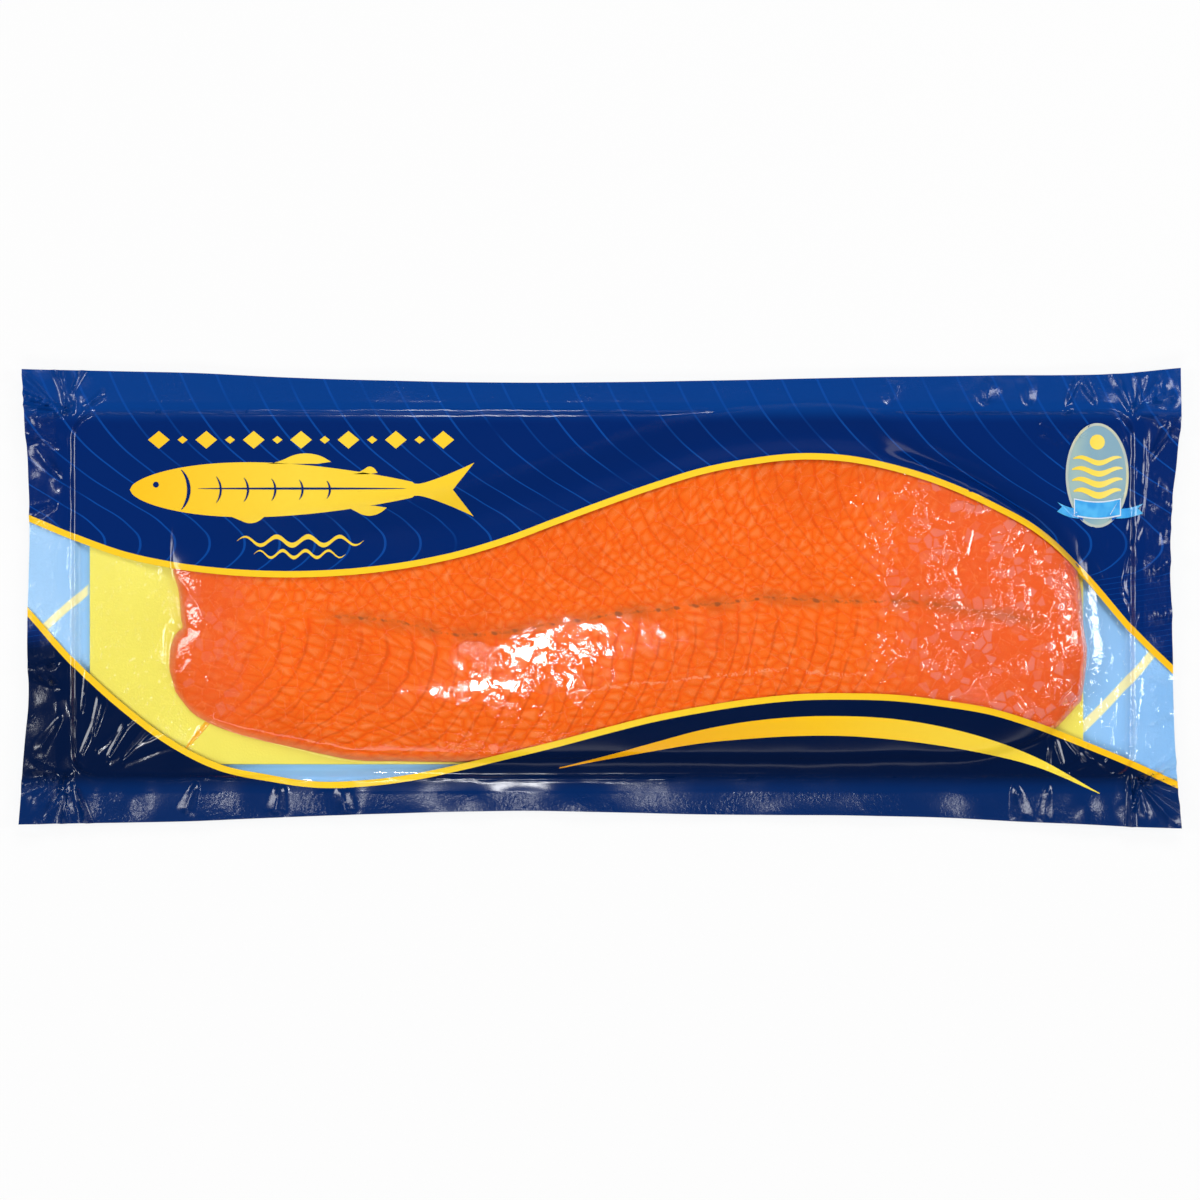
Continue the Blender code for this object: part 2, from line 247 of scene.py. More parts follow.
# thin creases that run along a line of points: points, half width, height
creases = [
    # the tail: outline of the fish, a squiggle and a fork
    ([(-226, 16), (-225, 9.8), (-221.5, -1.3), (-219, -11), (-223.5, -17.6), (-224.2, -30.5),
      (-224, -41.7), (-220, -47)], 1.5, 1.4),
    ([(-218, 10.8), (-213, 6), (-210, 0.3), (-207, -3.6), (-204.5, -8.8), (-203, -14)], 1.1, 0.9),
    ([(-208, -30), (-212, -34), (-215, -38), (-218, -43), (-214, -53), (-211.5, -58),
      (-209, -62)], 1.2, 0.9),
    ([(-212, -28), (-208, -32), (-205, -37), (-202.8, -42), (-206, -48), (-209.5, -53)], 1.1, 0.8),
    ([(-196.6, -55.5), (-205, -64), (-213.4, -77.4)], 1.3, 0.8),
    # the broad end: two long ones across it, and the glints past it
    ([(227, 30), (230, 19.7), (232.8, 9.8), (235, 0.3), (234, -11), (235, -22), (239, -33)], 1.1, 0.8),
    ([(230.5, -26), (231.9, -32), (232.8, -46.6), (232.3, -67.6), (232.3, -88)], 1.2, 0.9),
    ([(214, -20), (218, -30), (220, -42), (224, -50), (222, -57)], 1.1, 0.7),
    ([(205, -28), (214, -24), (224, -30), (228, -38)], 1.0, 0.6),
    ([(158, 30), (162, 20), (160, 10), (166, 2)], 1.0, 0.6),
    ([(185, 44), (190, 34), (187, 24), (194, 14)], 1.1, 0.7),
    ([(253.7, -45.7), (258.6, -41), (262.7, -36), (264, -31)], 1.6, 1.0),
    ([(250, -30), (252, -40), (251, -52)], 1.0, 0.7),
    ([(279.5, -32), (278.9, -48), (277, -62.8), (268.2, -75.4), (262, -84)], 1.3, 0.9),
    ([(265, -58), (264, -66), (265, -76)], 0.9, 0.6),
    # above the upper print line, by the badge, and the rim that buckles inwards at the right
    ([(160, 69.5), (167, 67.3), (174.6, 63.3), (184, 58.4), (190, 54)], 1.2, 0.9),
    ([(228, 91), (236, 88), (243, 84), (250, 85)], 1.5, 0.9),
    ([(238, 88), (243, 90), (252, 89)], 1.0, 0.7), ([(254.6, 35.8), (259, 32), (261.8, 27.4)], 1.0, 0.7),
    ([(250, 24), (258, 18), (262, 10)], 1.2, 0.6),
    ([(281.9, 84), (281.3, 61.7), (278.8, 39), (272.5, 19.7), (270, 6), (275, -6)], 1.6, 1.3),
    ([(268, 90), (272, 80), (276, 66), (275, 50), (271, 34)], 1.4, 1.0),
    # pleats in the lower left corner
    ([(-260, -79), (-250, -71), (-241, -62.6)], 1.6, 0.8),
    ([(-254, -85), (-240, -76), (-226, -69)], 1.7, 0.8),
    ([(-268, -80), (-262, -66), (-259, -52)], 1.6, 0.9),
    ([(-246, -86), (-228, -79), (-214, -76)], 1.5, 0.6),
    # lower right corner
    ([(236, -89), (246, -83), (252, -75)], 1.3, 0.9), ([(243, -90), (256, -84), (266, -80)], 1.4, 0.9),
    ([(250, -78), (262, -88), (270, -92)], 1.3, 0.8),
]


def lineCreases(x, y):
    total = np.zeros_like(x)
    broken = 0.7 + 0.3 * softNoise(x, y, 5.0, 31)
    for points, halfWidth, height in creases:
        away = np.full_like(x, 1e3)
        for (ax, ay), (bx, by) in zip(points[:-1], points[1:]):
            runX, runY = bx - ax, by - ay
            along = np.clip(((x - ax) * runX + (y - ay) * runY) / (runX ** 2 + runY ** 2), 0, 1)
            away = np.minimum(away, np.hypot(x - ax - along * runX, y - ay - along * runY))
        total = np.maximum(total, height * broken * np.clip(1 - away / halfWidth, 0, 1))
    return total


def filmFolds(x, y):
    total = np.zeros_like(x)
    for start, angle, spread, count, seed in cornerFans.values():
        rng = np.random.default_rng(seed)
        for k in range(count):
            turn = angle + spread * (2 * k / (count - 1) - 1) + rng.uniform(-6, 6)
            at = np.array(start) + rng.uniform(-3.5, 3.5, 2)
            length, width = rng.uniform(18, 38), rng.uniform(3.0, 7.5)
            total = np.maximum(total, fold(x, y, at, turn, length, (0.7, width), rng.uniform(1.8, 3.8)))
    for start, angle, length, width, height in singleFolds:
        total = np.maximum(total, fold(x, y, start, angle, length, width, height * 1.6, head=0.3))
    for (atX, atY), (reachX, reachY), height in domes:
        total = total + height * np.exp(-((x - atX) / reachX) ** 2 - ((y - atY) / reachY) ** 2)
    return total


# waves of the sealed flange: axis, length, phase, height
waves = [(0, 118.0, 0.9, 0.8), (0, 51.0, 2.1, 0.5), (1, 73.0, 1.3, 0.8), (1, 44.0, 0.2, 0.4)]
curl = {"height": 2.4, "reach": 34.0}
filmGap = 0.45  # from the underside of the base film to the top film on the flange
boardTop = boardHigh[2]
plateau = boardTop + 0.25  # the film over the board
drape = {
    "clearance": 0.95,  # over the flesh
    "closeReach": 10.0,  # skirt round the edges that show
    "wideReach": 26.0,  # slope over the hidden back edge
    "beads": ((0.6, 4.8, 1.0), (0.5, -0.3, 0.9)),  # round the rim: height, how far out, width
}


def flangeRise(x, y, beyond):
    spread = ease(beyond / 20.0)
    lift = sum(h * np.sin(2 * math.pi * (x, y)[axis] / length + phase) for axis, length, phase, h in waves)
    toCorner = np.hypot(halfLength - np.abs(x), halfWidth - np.abs(y))
    return pocket["depth"] + spread * (lift + curl["height"] * (1 - ease(toCorner / curl["reach"])))


def baseHeight(x, y, creased=1.0):
    beyond = outsidePocket(x, y)
    wall = ease(beyond / pocket["wall"])
    out = ease((beyond - 1.0) / 6.0)
    facets = foldedNoise(x, y, 15.0, 21) * 2.6 * ease((np.abs(x) - 255) / 25.0)
    return flangeRise(x, y, beyond - pocket["wall"]) * wall + out * creased * (filmFolds(x, y) + facets)


# how far inside the fish's outline, negative outside it, and how far across it
def insideFish(x, y):
    v = np.clip((y - fishLower(x)) / (fishUpper(x) - fishLower(x)), 0, 1)
    dx = np.maximum(fishLeft(v) - x, x - fishRight(v))
    slope = np.gradient(fishUpper(np.arange(-230, 260.0)))
    tilt = np.cos(np.arctan(np.interp(x, np.arange(-230, 260.0), slope)))
    dy = np.maximum(fishLower(x) - y, (y - fishUpper(x)) * tilt)
    outside = np.hypot(np.maximum(dx, 0), np.maximum(dy, 0))
    return np.where(outside > 0, -outside, -np.maximum(dx, dy)), v


def fishBody(x, v):
    toEnd = np.minimum(x - fishLeft(v), fishRight(v) - x)
    return fishThickness(x) * fishAcross(v) * (0.42 + 0.58 * roundOver(toEnd / 16.0))


def filmHeight(x, y):
    beyond = outsidePocket(x, y) + 0.7 * softNoise(x, y, 13.0, 51) + 0.35 * softNoise(x, y, 4.0, 52)
    uneven = 0.8 + 0.4 * softNoise(x, y, 9.0, 53)
    beads = sum(high * np.exp(-((beyond - out) / width) ** 2) for high, out, width in drape["beads"])
    low = smoothMax(baseHeight(x, y) + filmGap, plateau, 0.5) + uneven * beads
    depth, v = insideFish(x, y)
    body = fishBody(np.clip(x, fishLeft(v), fishRight(v)), v)
    # over the hidden back edge the film hangs in a wide slope, elsewhere it is drawn in close
    wide = ease((v - 0.6) / 0.3) * ease((175 - x) / 40)
    slope = body / fishAcross(v) * (1.0 - 0.26 * ease((v - 0.82) / 0.18))
    body = body * (1 - wide) + slope * wide
    onFish = 0.66 + 0.34 * np.sin(math.pi / 2 * np.clip(depth / 5.0, 0, 1))
    skirt = 0.66 * np.clip(1 + depth / drape["closeReach"], 0, 1) ** 1.8
    close = np.where(depth > 0, onFish, skirt)
    edge = close * (1 - wide) + ease((depth + drape["wideReach"]) / (drape["wideReach"] + 6.0)) * wide
    inner = lineCreases(x, y)
    for start, angle, length, width, height in innerFolds:
        inner = np.maximum(inner, fold(x, y, start, angle, length, width, height))
    over = fishBottom + drape["clearance"] + body * edge
    return smoothMax(low, over, 0.5) + inner + slackFilm(x, y, depth)


# loose film round the fish's tail and broad end: ripples that run down from its edge
def slackFilm(x, y, depth):
    near = ease(1 - np.abs(depth) / 16.0)
    ends = ease((np.abs(x - 15) - 205) / 14.0)
    return near * ends * 0.25 * foldedNoise(x, y, 9.0, 44)


def freshPiece(name):
    piece = bpy.context.active_object
    piece.name = piece.data.name = name
    return piece


# a grid whose points go where place(u, v) says, in millimetres
def addGrid(name, columns, rows, place):
    bpy.ops.object.select_all(action="DESELECT")
    bpy.ops.mesh.primitive_grid_add(x_subdivisions=columns, y_subdivisions=rows, size=1)
    piece = freshPiece(name)
    spots = np.empty(len(piece.data.vertices) * 3)
    piece.data.vertices.foreach_get("co", spots)
    u, v = spots[0::3] + 0.5, spots[1::3] + 0.5
    x, y, z = place(u, v)
    piece.data.vertices.foreach_set("co", (np.column_stack([x, y, z]) * mm).ravel())
    piece.data.update()
    return piece, u, v


# a wall inwards from the surface
def thicken(piece, thickness):
    solidify = piece.modifiers.new("wall", "SOLIDIFY")
    solidify.thickness = thickness * mm
    solidify.offset = -1
    bpy.context.view_layer.objects.active = piece
    bpy.ops.object.modifier_apply(modifier=solidify.name)


def finishPiece(piece, paint, node=None):
    piece.data.materials.clear()
    piece.data.materials.append(paint.material)
    bpy.ops.object.select_all(action="DESELECT")
    piece.select_set(True)
    bpy.context.view_layer.objects.active = piece
    bpy.ops.object.shade_smooth_by_angle(angle=math.radians(60))
    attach(piece, "root")
    if node:
        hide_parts(node)


def addUv(piece, name, u, v):
    corners = np.empty(len(piece.data.loops), dtype=int)
    piece.data.loops.foreach_get("vertex_index", corners)
    layer = piece.data.uv_layers.new(name=name)
    layer.data.foreach_set("uv", np.column_stack([u[corners], v[corners]]).ravel())


# shares 0 to 1 moved so that some stretches get more columns or rows
def stretched(share, *stations):
    return np.interp(share, *zip(*stations))


# an output socket that sums are written with
class Wire:
    def __init__(self, paint, socket):
        self.paint, self.socket = paint, socket

    def maths(self, operation, *others):
        return self.paint.add("ShaderNodeMath", {"operation": operation}, [self, *others])

    def __add__(self, other):
        return self.maths("ADD", other)

    def __sub__(self, other):
        return self.maths("SUBTRACT", other)

    def __mul__(self, other):
        return self.maths("MULTIPLY", other)

    def __truediv__(self, other):
        return self.maths("DIVIDE", other)

    def __rsub__(self, other):
        return self.paint.add("ShaderNodeMath", {"operation": "SUBTRACT"}, [other, self])

    def __neg__(self):
        return self * -1

    __radd__, __rmul__ = __add__, __mul__


# one material, whose nodes are added by name
class Paint:
    def __init__(self, name, **settings):
        self.material = bpy.data.materials.new(name)
        self.material.use_nodes = True
        self.tree = self.material.node_tree
        self.shader = self.tree.nodes["Principled BSDF"]
        self.feed(**settings)

    def feed(self, **sockets):
        for socket, value in sockets.items():
            self.plug(value, self.shader.inputs[socket.replace("_", " ")])

    def plug(self, value, socket):
        if isinstance(value, Wire):
            self.tree.links.new(value.socket, socket)
        elif hasattr(socket.default_value, "__len__") and len(socket.default_value) == 4:
            socket.default_value = (*value, 1)[:4]
        else:
            socket.default_value = value

    def add(self, kind, settings=None, sockets=(), out=0):
        node = self.tree.nodes.new(kind)
        for key, value in (settings or {}).items():
            if key == "stops":
                for place, (position, colour) in enumerate(value):
                    spots = node.color_ramp.elements
                    spot = spots[place] if place < 2 else spots.new(position)
                    spot.position, spot.color = position, (*colour, 1)
            elif key == "points":
                curve = node.mapping.curves[0]
                for place, point in enumerate(value):
                    spot = curve.points[place] if place < 2 else curve.points.new(*point)
                    spot.location = point
                node.mapping.update()
            else:
                setattr(node, key, value)
        pairs = sockets.items() if isinstance(sockets, dict) else enumerate(sockets)
        for key, value in pairs:
            self.plug(value, node.inputs[key])
        return Wire(self, node.outputs[out])

    def split(self, spot):
        apart = self.add("ShaderNodeSeparateXYZ", sockets=[spot])
        return apart, Wire(self, apart.socket.node.outputs[1])

    # the object's own coordinates, and x and y in millimetres
    def place(self):
        spot = self.add("ShaderNodeTexCoord", out=3)
        x, y = self.split(spot)
        return spot, x * (1 / mm), y * (1 / mm)

    def uv(self, name):
        spot = self.add("ShaderNodeUVMap", {"uv_map": name})
        return spot, *self.split(spot)

    def blend(self, amount, first, second):
        return self.add("ShaderNodeMix", {"data_type": "RGBA"}, {0: amount, 6: first, 7: second}, out=2)

    # a soft step from 0 at low to 1 at high
    def rise(self, value, low, high):
        return self.add("ShaderNodeMapRange", {"interpolation_type": "SMOOTHSTEP"},
                        {"Value": value, "From Min": low, "From Max": high})

    # 1 between a soft step up and a soft step down
    def between(self, value, up, down):
        return self.rise(value, *up) * (1 - self.rise(value, *down))

    def noise(self, spot, scale, detail=2.0, roughness=0.5, distortion=0.0):
        values = {"Vector": spot, "Scale": scale, "Detail": detail, "Roughness": roughness}
        values["Distortion"] = distortion
        return self.add("ShaderNodeTexNoise", {"noise_dimensions": "2D"}, values)

    def cells(self, spot, scale, feature="F1", randomness=1.0, out=0):
        return self.add("ShaderNodeTexVoronoi", {"feature": feature, "voronoi_dimensions": "2D"},
                        {"Vector": spot, "Scale": scale, "Randomness": randomness}, out=out)

    # height in millimetres
    def bump(self, height):
        return self.add("ShaderNodeBump", {}, {"Height": height, "Distance": mm, "Strength": 1.0})

    def mixShaders(self, amount, first, second):
        return self.add("ShaderNodeMixShader", {}, {0: amount, 1: first, 2: second})

    def show(self, shader):
        self.tree.links.new(shader.socket, self.tree.nodes["Material Output"].inputs["Surface"])

    # the shader over clear: amount 0 shows nothing of it, and it casts no shadow
    def overClear(self, amount):
        finish = Wire(self, self.shader.outputs[0])
        over = self.mixShaders(amount, self.add("ShaderNodeBsdfTransparent"), finish)
        shadowRay = self.add("ShaderNodeLightPath", out=1)
        self.show(self.mixShaders(shadowRay, over, self.add("ShaderNodeBsdfTransparent")))


# where the films are welded: 1 past the pocket's rim, left, right, above and below
rim = {"side": 280.0, "above": 100.5, "below": 99.5, "soft": 2.0}


def flangeMask(paint, x, y):
    mask = paint.rise(x, rim["side"], rim["side"] + rim["soft"])
    for value, start in ((-x, rim["side"]), (y, rim["above"]), (-y, rim["below"])):
        mask = mask.maths("MAXIMUM", paint.rise(value, start, start + rim["soft"]))
    return mask


printFinish = {
    "navy": (0.0004, 0.0195, 0.145),
    "navyTopFlange": (0.0016, 0.046, 0.25),
    "navyLow": (0.0002, 0.0072, 0.043),
    "navyLowFlange": (0.0009, 0.021, 0.118),
    "line": (0.003, 0.062, 0.33),
    "lineEvery": 18.2,
    "lineHalfWidth": 0.55,
    # how far each line leans over, from its foot to its top: the two ends first
    "hook": [
        (0, 0.62), (1, 0.0), (0.09, 0.86), (0.17, 0.9), (0.25, 0.84), (0.36, 0.66), (0.5, 0.42), (0.7, 0.18),
    ],
    "hookReach": 100,
    "grain": ((640.0, 0.12), (230.0, 0.14)),  # scale and height of the welded rim's two grains
}


def makePrintPaint():
    paint = Paint("printedFilm", Specular_IOR_Level=0.5)
    spot, x, y = paint.place()
    lowHalf = paint.rise(-y - x * 0.02, 20.0, 34.0)
    flange = flangeMask(paint, x, y)
    # contour lines: each steep at the top, leaning right, then hooking back
    hook = paint.add("ShaderNodeFloatCurve", {"points": printFinish["hook"]}, {"Value": (y - 10) / 110})
    phase = (x - hook * printFinish["hookReach"]) / printFinish["lineEvery"]
    away = (phase - phase.maths("ROUND")).maths("ABSOLUTE") * printFinish["lineEvery"]
    halfWidth = printFinish["lineHalfWidth"]
    line = (1 - paint.rise(away, halfWidth - 0.12, halfWidth + 0.25)) * (1 - lowHalf)
    faint = paint.noise(spot, 30.0, 1.0)
    upper = paint.blend(paint.rise(y, 90.0, 99.0), printFinish["navy"], printFinish["navyTopFlange"])
    lower = paint.blend(paint.rise(-y, 90.0, 100.0), printFinish["navyLow"], printFinish["navyLowFlange"])
    colour = paint.blend(lowHalf, upper, lower)
    colour = paint.blend(line * paint.rise(faint, 0.1, 0.6), colour, printFinish["line"])
    # fine crawling grain where the films are welded, smooth elsewhere, crumpled at both ends
    (fineScale, fineHeight), (coarseScale, coarseHeight) = printFinish["grain"]
    fine = paint.noise(spot, fineScale, 1.0, 0.6, 0.6) * fineHeight
    grain = fine + paint.noise(spot, coarseScale, 1.0) * coarseHeight
    ends = paint.rise(x.maths("ABSOLUTE"), 225.0, 290.0)
    patches = paint.rise(paint.noise(spot, 38.0, 1.0), 0.44, 0.60) * 0.6 + 0.4
    relief = (grain * patches * (flange * 0.94 + 0.06) + paint.noise(spot, 26.0, 1.0)
              + paint.cells(spot, 95.0) * ends * 0.3)
    paint.feed(Base_Color=colour, Roughness=flange * 0.08 + 0.13, Normal=paint.bump(relief))
    return paint


goldFinish = {
    "crescent": ((0.86, 0.34, 0.002), (0.99, 0.58, 0.006), (1.0, 0.80, 0.075)),
    "line": ((1.0, 0.62, 0.022), (1.0, 0.70, 0.03), (1.0, 0.56, 0.012)),
    "motif": ((1.0, 0.58, 0.016), (1.0, 0.72, 0.06), (1.0, 0.66, 0.03)),
    "badge": ((1.0, 0.70, 0.06), (1.0, 0.78, 0.12), (1.0, 0.86, 0.30)),
    "deep": (0.9, 0.45, 0.01),
}


# three tones from one end, at start, to the other
def makeGoldPaint(name, left, middle, right, start, end):
    paint = Paint(name, Roughness=0.16, Specular_IOR_Level=0.5)
    spot, x, y = paint.place()
    across = (x - start) / (end - start)
    colour = paint.add("ShaderNodeValToRGB", {"stops": [(0.0, left), (1.0, right), (0.5, middle)]}, [across])
    uneven = paint.noise(spot, 260.0, 2.0)
    colour = paint.blend(uneven * 0.12, colour, goldFinish["deep"])
    grain = paint.noise(spot, 640.0, 1.0, 0.6, 0.6) * (flangeMask(paint, x, y) * 0.15 + 0.01)
    paint.feed(Base_Color=colour, Normal=paint.bump(grain))
    return paint


clearFinish = {"gloss": 2.6, "most": 0.32}  # times a plain film's reflection, and the most it may hide


def makeClearPaint():
    paint = Paint("clearFilm", Base_Color=(1, 1, 1), Metallic=1.0)
    spot, x, y = paint.place()
    flange = flangeMask(paint, x, y)
    # crinkles where the film clings to the flesh: the broad end, the belly and the tail
    broad = paint.rise(x + y * 0.15, 118.0, 175.0) * (1 - paint.rise(x, 246.0, 256.0))
    belly = paint.between(x, (-86.0, -62.0), (-20.0, 12.0)) * (1 - paint.rise(y, -27.0, -15.0))
    tail = 1 - paint.rise(x, -214.0, -196.0)
    slack = paint.rise((x - 16).maths("ABSOLUTE"), 222.0, 234.0) * (1 - flange)
    scattered = paint.rise(paint.noise(spot, 60.0, 2.0), 0.44, 0.60)
    wrinkled = broad.maths("MAXIMUM", belly * 0.15).maths("MAXIMUM", tail * 0.12) * scattered
    facets = paint.rise(paint.cells(spot, 185.0, "DISTANCE_TO_EDGE"), 0.0, 0.17)
    drops = 1 - paint.rise(paint.cells(spot, 310.0), 0.08, 0.40)
    relief = wrinkled * (facets * 0.55 + drops * 0.32) + paint.noise(spot, 70.0, 1.0) * 0.3
    fine = broad * 0.05 + belly * scattered * 0.17 + slack * 0.26 + flange * 0.22 + 0.02
    normal = paint.bump(relief + paint.noise(spot, 290.0, 2.0, 0.6, 1.0) * fine)
    paint.feed(Roughness=flange * 0.1 + 0.07, Normal=normal)
    sheen = paint.add("ShaderNodeFresnel", {}, {"IOR": 1.5, "Normal": normal})
    outerWall = 1 - paint.add("ShaderNodeNewGeometry", out=6)
    shown = (sheen * clearFinish["gloss"]).maths("MINIMUM", clearFinish["most"])
    paint.overClear(shown * outerWall * (1 - tail * 0.4))
    return paint


baseFinish = {
    "blue": (0.31, 0.59, 0.94),
    "deep": (0.25, 0.52, 0.88),
    # pale: painted sheen at the left end
    "pale": (0.46, 0.71, 0.98),
    "stripe": (0.96, 0.90, 0.48),
}


def makeBasePaint():
    paint = Paint("baseFilm", Roughness=0.28, Specular_IOR_Level=0.3)
    spot, x, y = paint.place()
    cloud = paint.noise(spot, 18.0, 3.0)
    colour = paint.blend(paint.rise(cloud, 0.3, 0.75), baseFinish["blue"], baseFinish["deep"])
    # painted sheen: paler towards the left end, for the film's whitish haze there
    colour = paint.blend(paint.rise(-x, 245.0, 290.0) * 0.6, colour, baseFinish["pale"])
    # one pale stripe crosses each end on a slant
    left = (y + 16.6 - (x + 288.6) * 0.888).maths("ABSOLUTE") * 0.75
    leftStripe = (1 - paint.rise(left, 1.8, 2.2)) * (1 - paint.rise(x, -266.0, -264.0))
    bend = (x - 249.8) / 34.7
    right = (y + 67 - (bend * 0.86 + bend * bend * 0.14) * 37.5).maths("ABSOLUTE") * 0.68
    rightStripe = (1 - paint.rise(right, 2.1, 2.5)) * paint.rise(x, 247.0, 249.0)
    colour = paint.blend(leftStripe.maths("MAXIMUM", rightStripe), colour, baseFinish["stripe"])
    grain = paint.noise(spot, 620.0, 1.0) * (flangeMask(paint, x, y) * 0.25 + 0.02)
    paint.feed(Base_Color=colour, Normal=paint.bump(grain + cloud * 0.6))
    return paint


boardFinish = {
    "yellow": (0.95, 0.85, 0.135),
    "shade": (0.89, 0.78, 0.11),
    "fibre": (0.97, 0.9, 0.25),
    "fibreHeight": 0.1,
}


def makeBoardPaint():
    paint = Paint("boardCard", Roughness=0.4, Specular_IOR_Level=0.3)
    spot = paint.place()[0]
    cloud = paint.noise(spot, 9.0, 3.0)
    fibre = paint.noise(spot, 900.0, 2.0, 0.6)
    colour = paint.blend(paint.rise(cloud, 0.35, 0.7), boardFinish["yellow"], boardFinish["shade"])
    colour = paint.blend(paint.rise(fibre, 0.45, 0.8) * 0.12, colour, boardFinish["fibre"])
    paint.feed(Base_Color=colour, Normal=paint.bump(fibre * boardFinish["fibreHeight"]))
    return paint


fleshFinish = {
    # groove: painted shade in the gaps and grooves
    "grooveShade": (0.95, 0.110, 0.0004),
    "shade": (0.80, 0.100, 0.004),
    # furrow: painted shade in the deep grooves
    "furrowShade": (0.66, 0.085, 0.002),
    "body": (0.97, 0.160, 0.005),
    # crest: painted highlight on the pebble tops, and the paler fat
    "crest": (1.0, 0.260, 0.060),
    "pale": (1.0, 0.36, 0.17),
    "red": (0.84, 0.112, 0.026),
    "pink": (0.86, 0.26, 0.20),
    "brown": (0.30, 0.085, 0.02),
    "lineShade": (0.50, 0.115, 0.02),
    "edge": (0.90, 0.34, 0.14),
    "ridgeHeight": 0.42,
}


def makeFleshPaint():
    paint = Paint("smokedFlesh", Specular_IOR_Level=0.1, Subsurface_Weight=0.15,
                  Subsurface_Radius=(1.0, 0.35, 0.12), Subsurface_Scale=0.003)
    spot, x, y = paint.place()
    grainSpot, ridge, _ = paint.uv("grain")  # which ridge, and how far along it
    _, section, above = paint.uv("sideLine")  # sections along the fish, mm above its side line
    broad = paint.rise(x, 120.0, 190.0)
    tail = 1 - paint.rise(x, -205.0, -160.0)
    plain = (1 - broad * 0.75) * (1 - tail * 0.6)
    wobble = paint.noise(spot, 160.0, 2.0)
    blotch = paint.noise(spot, 22.0, 3.0, 0.55, 0.4)
    fat = paint.noise(spot, 300.0, 2.0, 0.6, 1.2)
    # main grooves, worn away in places; painted shade darkens them
    toGroove = (ridge - ridge.maths("ROUND")).maths("ABSOLUTE")
    grooveShade = 1 - paint.rise(toGroove + (wobble - 0.5) * 0.22, 0.0, 0.17)
    grooveShade = grooveShade * paint.rise(blotch, 0.25, 0.6) * plain
    # pebbles along each ridge, with painted shade in the fine gaps and painted highlight on the paler tops,
    # apart from a strip at the side line
    gap = paint.cells(grainSpot, 1.2, "DISTANCE_TO_EDGE", 0.75)
    tone = paint.add("ShaderNodeSeparateColor", sockets=[paint.cells(grainSpot, 1.2, "F1", 0.75, out=1)])
    plain = plain * paint.rise(above.maths("ABSOLUTE"), 1.0, 2.4)
    recessShade = (1 - paint.rise(gap, 0.0, 0.13)) * plain * 0.75 + grooveShade * 0.6
    top = paint.rise(gap, 0.10, 0.45)
    # painted shade: the gaps and grooves darker and deeper orange
    colour = paint.blend(recessShade.maths("MINIMUM", 1.0), fleshFinish["body"], fleshFinish["grooveShade"])

    def tint(amount, finish):
        return paint.blend(amount, colour, fleshFinish[finish])

    # painted highlight: the tops of the pebbles paler
    colour = tint(top * (tone * 0.75 + 0.1), "crest")
    # the grooves run deep below the side line, and less so above it; painted shade darkens them
    deep = paint.rise(-above, 2.0, 14.0) + paint.rise(above, 4.0, 16.0) * 0.6
    furrowShade = (1 - paint.rise(toGroove + (wobble - 0.5) * 0.14, 0.0, 0.11)) * deep
    colour = tint(furrowShade * paint.rise(blotch, 0.2, 0.5) * plain * 0.5, "furrowShade")
    # broad darker and redder patches, more of them at both ends
    colour = tint(paint.rise(blotch, 0.45, 0.72) * 0.35, "shade")
    colour = tint((broad * 0.7).maths("MAXIMUM", tail * 0.55), "red")
    # slice marks: thin pale strokes across the ridges
    slices = paint.cells(spot, 105.0, "DISTANCE_TO_EDGE")
    strokes = (1 - paint.rise(slices, 0.0, 0.05)) * paint.rise(fat, 0.35, 0.6)
    colour = tint(strokes * 0.2, "pale")
    # translucent pink blobs at the broad end, fewer at the tail
    blobs = paint.cells(spot, 185.0, "DISTANCE_TO_EDGE")
    blobTone = paint.add("ShaderNodeSeparateColor", sockets=[paint.cells(spot, 185.0, out=1)])
    blob = paint.rise(blobTone, 0.55, 0.9) * paint.rise(blobs, 0.02, 0.16)
    colour = tint(blob * broad.maths("MAXIMUM", tail * 0.4) * 0.66, "pink")
    colour = tint(paint.rise(fat, 0.60, 0.76) * 0.4, "crest")
    # side line: brown dots where the ridges meet, with a soft shade along it
    toJoin = (section - section.maths("ROUND")).maths("ABSOLUTE") * 10.2
    dotAway = (toJoin * toJoin + above * above * 2.2).maths("SQRT")
    span = paint.between(x, (-150.0, -120.0), (215.0, 235.0))
    dots = (1 - paint.rise(dotAway + (wobble - 0.5) * 3.4, 0.4, 1.9)) * span * (1 - broad * 0.6)
    thread = 1 - paint.rise((above + (wobble - 0.5) * 3.0).maths("ABSOLUTE"), 0.2, 1.0)
    thread = thread * span * paint.rise(fat, 0.4, 0.6)
    lineShade = (1 - paint.rise(above.maths("ABSOLUTE"), 0.5, 7.0)) * span
    patchy = paint.rise(paint.noise(spot, 60.0, 2.0), 0.3, 0.62)
    colour = tint(lineShade * patchy * 0.45, "lineShade")
    colour = tint((dots * 0.8).maths("MAXIMUM", thread * 0.35), "brown")
    # pale connective line along the belly
    seamAway = (above + 37.0 + (wobble - 0.5) * 6).maths("ABSOLUTE")
    seam = (1 - paint.rise(seamAway, 0.2, 1.3)) * paint.between(x, (-20.0, 5.0), (118.0, 150.0))
    colour = tint(seam * paint.rise(fat, 0.4, 0.6) * 0.7, "pale")
    # thin, paler rim at the cut edges
    cutEdge = paint.add("ShaderNodeAttribute", {"attribute_name": "rim"}, out=2)
    colour = tint(cutEdge * 0.6, "edge")
    relief = (paint.rise(gap, 0.0, 0.3) * 0.26 * plain + fat * 0.22 + blob * broad * 0.25
              + paint.rise(slices, 0.0, 0.1) * 0.12)
    paint.feed(Base_Color=colour, Normal=paint.bump(relief), Roughness=0.40 - top * 0.08 + blotch * 0.06)
    return paint


print("base film")
# creased: its share of the top film's creases
baseSheet = {"columns": 330, "rows": 150, "thickness": 0.3, "creased": 0.7}


